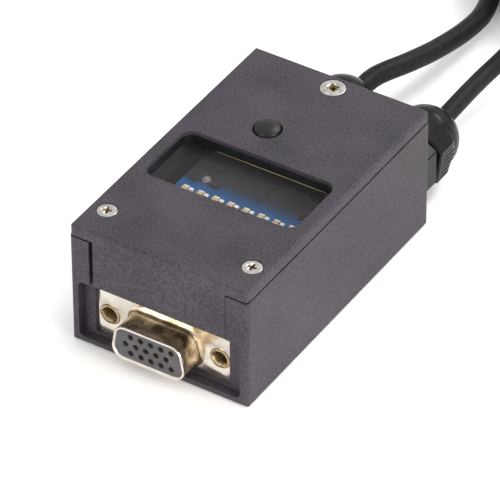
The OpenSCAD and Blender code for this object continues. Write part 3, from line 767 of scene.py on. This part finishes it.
def d_loop(grow, steps=10):
    """The D outline grown outwards, as (x, z) points in order."""
    r = SHROUD_R
    low_x = SHROUD_W / 2 - r
    high_x = low_x - (SHROUD_H - 2 * r) * math.tan(SHROUD_SLOPE)
    rise = SHROUD_H / 2 - r
    slope = math.degrees(SHROUD_SLOPE)
    corners = [
        (low_x, -rise, -90, slope), (high_x, rise, slope, 90),
        (-high_x, rise, 90, 180 - slope), (-low_x, -rise, 180 - slope, 270),
    ]
    loop = []
    for x, z, start, stop in corners:
        for k in range(steps + 1):
            a = math.radians(start + (stop - start) * k / steps)
            loop.append((x + (r + grow) * math.cos(a), z + (r + grow) * math.sin(a)))
    return loop


def lofted_d(name, stations, material):
    """A closed skin through D outlines, each given as (growth, y)."""
    bm = bmesh.new()
    loops = []
    for grow, y in stations:
        loops.append([
            bm.verts.new(Vector((socket_x + x, y, socket_z + z)) * MM) for x, z in d_loop(grow)
        ])
    loops.append(loops[0])
    for a, b in zip(loops, loops[1:]):
        bridge(bm, a, b)
    return link_mesh(name, finish_mesh(name, bm, 35), "case", material)


print("D outline:", len(d_loop(0)), "points")

# %% Shroud and its bright rim
SHEET = 0.5
shroud = lofted_d("socket_shroud", [
    (0.75, ROOT_Y), (0.45, ROOT_Y - 0.12), (0.18, ROOT_Y - 0.38), (0.03, ROOT_Y - 0.75),
    (0, ROOT_Y - 1.2), (0, mouth_y + 0.3), (-0.06, mouth_y + 0.1), (-0.2, mouth_y), (-0.34, mouth_y + 0.06),
    (-SHEET, mouth_y + 0.35), (-SHEET, ROOT_Y + 0.2), (0.1, ROOT_Y + 0.2),
], shroud_reflection_plate)
rim = lofted_d("socket_rim", [
    (0.03, mouth_y + 0.55), (0.03, mouth_y + 0.2), (-0.06, mouth_y + 0.03), (-0.2, mouth_y - 0.01),
    (-0.36, mouth_y + 0.04), (-SHEET - 0.02, mouth_y + 0.3), (-0.3, mouth_y + 0.55),
], nickel)
print("shroud:", len(shroud.data.polygons), "faces; rim:", len(rim.data.polygons), "faces")

# %% Flange
FLANGE_T = 1.5
FLANGE_CORNER_R = 1.2
INSERT_HOLE_R = 2.25


def flange_plate():
    """The flange with its two insert holes and rounded corners, cut from one plate."""
    low, high = shell_low / MM, shell_high / MM
    bm = bmesh.new()
    r = FLANGE_CORNER_R
    steps = 6
    centres = [
        (high.x - r, low.z + r, -90), (high.x - r, high.z - r, 0),
        (low.x + r, high.z - r, 90), (low.x + r, low.z + r, 180),
    ]
    corners = []
    for cx, cz, start in centres:
        for k in range(steps + 1):
            a = math.radians(start + 90 * k / steps)
            corners.append((cx + r * math.cos(a), cz + r * math.sin(a)))
    front = [bm.verts.new(Vector((x, ROOT_Y, z)) * MM) for x, z in corners]
    back = [bm.verts.new(Vector((x, ROOT_Y + FLANGE_T, z)) * MM) for x, z in corners]
    bm.faces.new(front)
    bm.faces.new(back)
    bridge(bm, front, back)
    plate_mesh = finish_mesh("socket_flange", bm)
    plate = link_mesh("socket_flange", plate_mesh, "case", nickel, "connector_shell")
    bore = [(0, -1), (INSERT_HOLE_R, -1), (INSERT_HOLE_R, 4), (0, 4)]
    for side in (-1, 1):
        place = along_y(socket_x + side * INSERT_REACH, ROOT_Y - 1, socket_z)
        cut(plate, finish_mesh("hole", turned(bore, place)))
    opening = bmesh.new()
    loops = []
    for y in (ROOT_Y - 1, ROOT_Y + 3):
        loops.append([
            opening.verts.new(Vector((socket_x + x, y, socket_z + z)) * MM)
            for x, z in d_loop(-SHEET)
        ])
    opening.faces.new(loops[0])
    opening.faces.new(loops[1])
    bridge(opening, *loops)
    cut(plate, finish_mesh("opening", opening))
    add_bevel(plate, 0.1).limit_method = "ANGLE"
    return plate


flange = flange_plate()
print("flange:", len(flange.data.polygons), "faces after three cuts")

# %% Jack-screw inserts
THREAD_PITCH, THREAD_TURNS = 0.6, 10


def jack_insert(name, x):
    """A barrel with a flared rim, and the crests and roots of its thread as plain rings in dark brown, a
    painted shade inside the bore.
    """
    outline = [
        (2.2, 6.4), (2.2, 0.35), (2.32, 0.2), (2.32, 0.05), (2.2, -0.1), (1.75, -0.14),
        (1.45, 0.15), (1.45, 6.4), (2.2, 6.4),
    ]
    at = along_y(x, ROOT_Y - 0.01, socket_z)
    barrel = link_mesh(name, finish_mesh(name, turned(outline, at, 48), 45), "case", insert_plate)
    thread = [(1.44, 0.16)]
    for k in range(THREAD_TURNS):
        thread += [(1.22, 0.35 + THREAD_PITCH * k), (1.42, 0.65 + THREAD_PITCH * k)]
    thread += [(1.44, 6.3), (1.44, 0.16)]
    # The thread rings are dark brown: a painted shade deep in the bore.
    cut_thread = finish_mesh(f"{name}_thread", turned(thread, at, 48), 20)
    rings = link_mesh(f"{name}_thread", cut_thread, "case", recess_shade_brown)
    return barrel


insert_left = jack_insert("jack_insert_left", socket_x - INSERT_REACH)
insert_right = jack_insert("jack_insert_right", socket_x + INSERT_REACH)
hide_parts("connector_inserts")
print("inserts:", 2 * INSERT_REACH, "mm apart")

# %% [markdown]
# ## Glands
# A gland's dome nut starts as a hexagon and ends as a ball. Both are radii that depend on the
# angle and the height, so one turned mesh takes a function: six flats with rounded corners,
# fine grooves down every other flat, and a sphere over the top.

# %% Shape of the dome nut
NUT_AF, DOME_R, MOUTH_R = 14.0, 7.0, 4.75
NUT_TURN = math.radians(8)
SKIRT = 5.9
FOOT_H, FOOT_IN = 0.45, 0.35
GROOVE_DEPTH = 0.22
FACET = math.pi / 3


def hex_radius(flat, angle, corner=0.975):
    """Radius of a hexagon with softened corners, a flat facing angle 0."""
    local = (angle + FACET / 2) % FACET - FACET / 2
    sharp = flat / math.cos(local)
    return min(sharp, flat / math.cos(FACET / 2) * corner + 0.25 * (sharp - flat))


def grooves(angle, count=6):
    """Depth, 0 to 1, of the fine grooves along every other flat."""
    sector, local = divmod((angle + FACET / 2) % TAU / FACET, 1)
    wave = 0.5 - 0.5 * math.cos(TAU * count * local)
    return wave ** 3 * (1 if 0.08 < local < 0.92 and sector % 2 == 0 else 0)


print("hexagon's corner radius:", round(hex_radius(NUT_AF / 2, FACET / 2), 2), "mm")


# %% Dome nuts and gland bodies
def gland_nut(name, x, cable_d, node):
    """Hexagonal skirt with grooves that runs into a ball-shaped top, bored for the cable."""
    low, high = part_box(node)
    y0, y1 = low.y / MM, high.y / MM
    z = (low.z + high.z) / 2 / MM
    total = y1 - y0
    outline = [(1, 0.0), (1, 0.12), (1, FOOT_H)]
    outline += [(1, FOOT_H + (SKIRT - 1.1) * k / 6) for k in range(1, 7)]
    outline += [(1, SKIRT - 0.4), (1, SKIRT - 0.1)]
    dome = []
    for k in range(15):
        lift = (total - SKIRT) * k / 14
        dome.append((math.sqrt(max(0.1, DOME_R ** 2 - lift ** 2)), SKIRT + lift))
    dome[-1] = (MOUTH_R, total)
    bore = cable_d / 2
    inside = [
        (bore + 0.9, total), (bore + 0.35, total - 0.3), (bore + 0.3, total - 2.6),
        (3.7, total - 2.8), (3.7, 5.6), (4.95, 5.4), (4.95, 0.3), (5.2, 0.0),
    ]

    def reach(r, h, angle):
        """The skirt's radius at a height and angle. Its outline points have radius 1."""
        if r != 1:
            return r
        edge = min(1, h / FOOT_H)
        wide = hex_radius(NUT_AF / 2, angle - NUT_TURN) - FOOT_IN * (1 - edge)
        shoulder = max(0, h - (SKIRT - 1))
        groove = GROOVE_DEPTH * grooves(angle - NUT_TURN) if 0.5 < h < SKIRT - 0.5 else 0
        return wide * (1 - shoulder) + shoulder * DOME_R - groove

    bm = turned(outline + dome + inside + [outline[0]], along_y(x, y0, z), 288, reach)
    print(name, "with", len(bm.faces), "faces")
    return link_mesh(name, finish_mesh(name, bm, 32), "case", nylon_black, node)


for label, diameter in (("left", LEFT_D), ("right", RIGHT_D)):
    centre = place_of(f"{label}_gland_nut")[0]
    gland_nut(f"{label}_dome_nut", centre.x, diameter, f"{label}_gland_nut")
    softened(f"{label}_gland_shell", f"{label}_gland_body", 0.25, "case", nylon_black)

# %% [markdown]
# ## Lamps on the board
# Eight status LEDs sit in a row behind the window, each a tan reflector between two white
# ends, with a chip resistor beside it. Two round lamps stand behind them. So many small
# blocks are quickest as one piece for each kind, with one bevel over all its edges.

# %% Block helpers
def add_box(bm, low, high):
    """A box in millimetres between two corners."""
    made = bmesh.ops.create_cube(bm, size=1)["verts"]
    middle = (Vector(low) + Vector(high)) / 2
    size = Vector(high) - Vector(low)
    for v in made:
        v.co = Vector((v.co.x * size.x, v.co.y * size.y, v.co.z * size.z)) * MM + middle * MM


def board_parts(name, boxes, material, node=None, width=0.05):
    """Many small blocks as one piece with softened edges."""
    bm = bmesh.new()
    for low, high in boxes:
        add_box(bm, low, high)
    nodes = [node] if node else []
    piece = link_mesh(name, finish_mesh(name, bm), "case", material, *nodes)
    add_bevel(piece, width)
    print(name, "made of", len(boxes), "blocks")
    return piece


# %% LEDs and resistors
board_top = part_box("pcb")[1].z / MM
led_low, led_high = (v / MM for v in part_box("status_leds"))
LED_COUNT, LED_PITCH, LED_HALF_W = 8, 3.46, 0.6
LED_END_Y, LED_END_HALF = 1.12, 0.24
PAD_X, PAD_Y, PAD_HALF = (0.9, 1.75), 0.7, 0.42
CHIP_X, CHIP_HALF = (0.98, 1.52), 0.3
led_y = (led_low.y + led_high.y) / 2
reflectors, ends, pads, chips = [], [], [], []
for i in range(LED_COUNT):
    x = (i - (LED_COUNT - 1) / 2) * LED_PITCH
    left, right = x - LED_HALF_W, x + LED_HALF_W
    reflectors.append(((left, led_y - 0.9, board_top), (right, led_y + 0.95, board_top + 0.5)))
    chips.append((
        (x + CHIP_X[0], led_y - CHIP_HALF, board_top),
        (x + CHIP_X[1], led_y + CHIP_HALF, board_top + 0.35),
    ))
    for side in (-1, 1):
        end_y = led_y + side * LED_END_Y
        pad_y = led_y + side * PAD_Y
        ends.append((
            (left, end_y - LED_END_HALF, board_top),
            (right, end_y + LED_END_HALF, board_top + 0.42),
        ))
        pads.append((
            (x + PAD_X[0], pad_y - PAD_HALF, board_top),
            (x + PAD_X[1], pad_y + PAD_HALF, board_top + 0.4),
        ))
board_parts("led_reflectors", reflectors, led_tan, "status_leds")
board_parts("led_ends", ends, led_white)
board_parts("resistor_ends", pads, led_white)
board_parts("resistor_bodies", chips, chip_black, "led_resistors")

# %% Round lamps
lamp_centre, lamp_size = place_of("side_lamps")
lamp_reach = (lamp_size.x - lamp_size.y) / 2
lamp_shape = rounded([
    (0, 0.9), (0.42, 0.86), (0.64, 0.6), (0.66, 0.4), (0.94, 0.4), (0.94, 0), (0, 0),
], 0.12)
for side, label, material in ((-1, "left", lamp_grey), (1, "right", ceramic_brown)):
    at = Vector((lamp_centre.x + side * lamp_reach, lamp_centre.y, board_top)) * MM
    lamp_mesh = finish_mesh("lamp", turned(lamp_shape, Matrix.Translation(at), 40))
    lamp = link_mesh(f"round_lamp_{label}", lamp_mesh, "case", material)
    if side < 0:
        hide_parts("side_lamps")
print("round lamps:", round(2 * lamp_reach, 2), "mm apart")

# %% [markdown]
# ## Painted shade and glint in the window
# A thin black sheet covers the walls of the opening above the pane, a painted shade where shade
# falls on those walls. A fine gold strip along the pane's rear edge is a painted glint of light
# on that edge. The sheet is four rounded outlines joined in a ring, so it follows the opening's
# corners; the strip is a block too thin to need more.

# %% Painted shade sheet and painted glint strip
pane_low, pane_high = (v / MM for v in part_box("window_pane"))
WINDOW_W, WINDOW_L, WINDOW_R = 34.2, 16.25, 2.5
GLINT_LEFT, GLINT_RIGHT, GLINT_W = -10, 14.5, 0.08
pane_y = (pane_low.y + pane_high.y) / 2
LINER_TOP = lid_top - 0.7
LINER_T = 0.08


def window_loop(bm, inset, z, steps=8):
    """The window's rounded outline, drawn in by inset, at height z."""
    loop = []
    reach = WINDOW_R - inset
    for sx, sy, start in ((1, 1, 0), (-1, 1, 90), (-1, -1, 180), (1, -1, 270)):
        for k in range(steps + 1):
            a = math.radians(start + 90 * k / steps)
            x = sx * (WINDOW_W / 2 - WINDOW_R) + reach * math.cos(a)
            y = pane_y + sy * (WINDOW_L / 2 - WINDOW_R) + reach * math.sin(a)
            loop.append(bm.verts.new(Vector((x, y, z)) * MM))
    return loop


def window_shade_sheet():
    """A thin closed black band between the pane and the lid's top, against the opening's walls: a painted
    shade.
    """
    bm = bmesh.new()
    foot = pane_high.z + 0.02
    loops = [
        window_loop(bm, 0.01, foot), window_loop(bm, 0.01, LINER_TOP),
        window_loop(bm, LINER_T, LINER_TOP - 0.08), window_loop(bm, LINER_T, foot),
    ]
    for a, b in zip(loops, [*loops[1:], loops[0]]):
        bridge(bm, a, b)
    piece = link_mesh("window_shade_sheet", finish_mesh("window_shade_sheet", bm), "case", shade_sheet_black)


window_shade_sheet()
# A painted glint: a thin gold strip along the pane's rear edge.
glint_y = pane_y + WINDOW_L / 2 - 0.25
glint_low = (GLINT_LEFT, glint_y, pane_high.z + 0.02)
glint_high = (GLINT_RIGHT, glint_y + GLINT_W, pane_high.z + 0.09)
glint = board_parts("window_glint", [(glint_low, glint_high)], glint_gold, width=0.02)

# %% [markdown]
# ## Plugs
# Each cable ends in a round screw plug: a moulded body with a ribbed relief, and a knurled
# coupling nut that turns on its neck. Both are turned. The knurl is a wave in the nut's
# radius, and the nut rides on its own body so that it can turn.

# %% Plugs
LEFT_PLUG, LEFT_TILT = (-15.9, 143.5, 6.5), 2
RIGHT_PLUG, RIGHT_TILT = (35.9, 143.5, 10.9), 10
NUT_R = 5.0
KNURL_COUNT, KNURL_DEPTH = 36, 0.18


def plug_body(name, at, tilt, node):
    """Moulded body with a ribbed taper towards the cable."""
    outline = [(0, 0.0), (2.4, 0.0)]
    for k in range(6):
        base = 2.55 + 0.22 * k
        rib = 1.25 * k
        outline += [(base + 0.3, 0.25 + rib), (base + 0.3, 0.95 + rib)]
        outline += [(base, 1.05 + rib), (base, 1.4 + rib)]
    outline += [(4.1, 7.9), (4.5, 8.4), (4.5, 19.3), (4.3, 19.5), (3.4, 19.5), (3.4, 24.3)]
    outline += [(3.9, 24.3), (3.9, 28), (0, 28)]
    bm = turned(rounded(outline, 0.15, 3), along_y(*at, tilt), 64)
    return link_mesh(name, finish_mesh(name, bm, 40), "case", sheath_black, node)


def plug_nut(name, at, tilt, body, node):
    """Knurled coupling nut, hollow, with a chamfer at each end."""
    def knurl(r, h, angle):
        """The nut's radius, waved where the outline is at its widest."""
        if r != NUT_R or not 20.8 < h < 30:
            return r
        return r - KNURL_DEPTH * (0.5 + 0.5 * math.cos(KNURL_COUNT * angle))

    outline = [
        (3.7, 20), (4.7, 20), (NUT_R, 20.4), (NUT_R, 20.9), (NUT_R, 25), (NUT_R, 29.6), (NUT_R, 30.2),
        (4.6, 30.6), (4.6, 33.6), (4.4, 34), (4.2, 33.8), (4.2, 24), (3.7, 24), (3.7, 20),
    ]
    bm = turned(outline, along_y(*at, tilt), 288, knurl)
    print(name, "knurled with", KNURL_COUNT, "ridges")
    return link_mesh(name, finish_mesh(name, bm, 35), body, nickel, node)


plug_body("left_plug_shell", LEFT_PLUG, LEFT_TILT, "left_plug_body")
plug_body("right_plug_shell", RIGHT_PLUG, RIGHT_TILT, "right_plug_body")
plug_nut("left_plug_collar", LEFT_PLUG, LEFT_TILT, "left_coupling_nut", "left_plug_nut")
plug_nut("right_plug_collar", RIGHT_PLUG, RIGHT_TILT, "right_coupling_nut", "right_plug_nut")

# %% [markdown]
# ## Finishing the cables
# The cables ride on the case and stand for their plain solids, which are hidden.

def declare(cable, label):
    """Finish and body of one cable; its plain solids are hidden."""
    cable.data.materials.append(sheath_black)
    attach(cable, "case")
    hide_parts(f"{label}_cable", f"{label}_cable_coil", f"{label}_cable_end")


declare(left_cable, "left")
declare(right_cable, "right")

# %% [markdown]
# ## Floor and light
# A pale sheet lies under the box. An even white surround gives most of the light. Three broad
# panels shape it: one high behind the box, one on the right and one in front on the left.

# %% Floor
FLOOR_HALF = 2.5
FLOOR_DROP = 0.0001


def make_floor():
    """A plain pale sheet, a hair below the parts so that the surfaces never share a plane."""
    bm = bmesh.new()
    bmesh.ops.create_grid(bm, x_segments=8, y_segments=8, size=FLOOR_HALF)
    mesh = finish_mesh("floor", bm)
    floor = bpy.data.objects.new("floor", mesh)
    floor.location.z = -FLOOR_DROP
    scene.collection.objects.link(floor)
    paper = finish(
        "white paper", light=(0.93, 0.93, 0.93), dark=(0.9, 0.9, 0.9),
        grain=200, patch=4, rough=0.8, spread=0.1, bump=0.05, depth=0.02,
    )
    mesh.materials.append(paper)


make_floor()
print("floor:", 2 * FLOOR_HALF, "m square")


# %% Light
def panel(name, place, size, power, colour=(1, 1, 1)):
    """A square soft light that faces the box."""
    data = bpy.data.lights.new(name, "AREA")
    data.size = size
    data.energy = power
    data.color = colour
    lamp = bpy.data.objects.new(name, data)
    lamp.location = place
    lamp.rotation_mode = "QUATERNION"
    lamp.rotation_quaternion = Vector(place).to_track_quat("Z", "Y")
    scene.collection.objects.link(lamp)
    print(name, "light:", power, "W")


panel("overhead", (0.2, 0.75, 0.8), 0.4, 7, (0.97, 0.98, 1))
panel("right side", (1.0, -0.1, 0.4), 0.6, 11, (1, 0.96, 0.92))
panel("front left", (-0.35, -1.0, 0.3), 0.5, 6, (1, 0.97, 0.96))
surround = bpy.data.worlds.new("surround")
surround.use_nodes = True
surround.node_tree.nodes["Background"].inputs["Color"].default_value = (1, 1, 1, 1)
surround.node_tree.nodes["Background"].inputs["Strength"].default_value = 0.95
scene.world = surround
scene.view_settings.view_transform = "Standard"
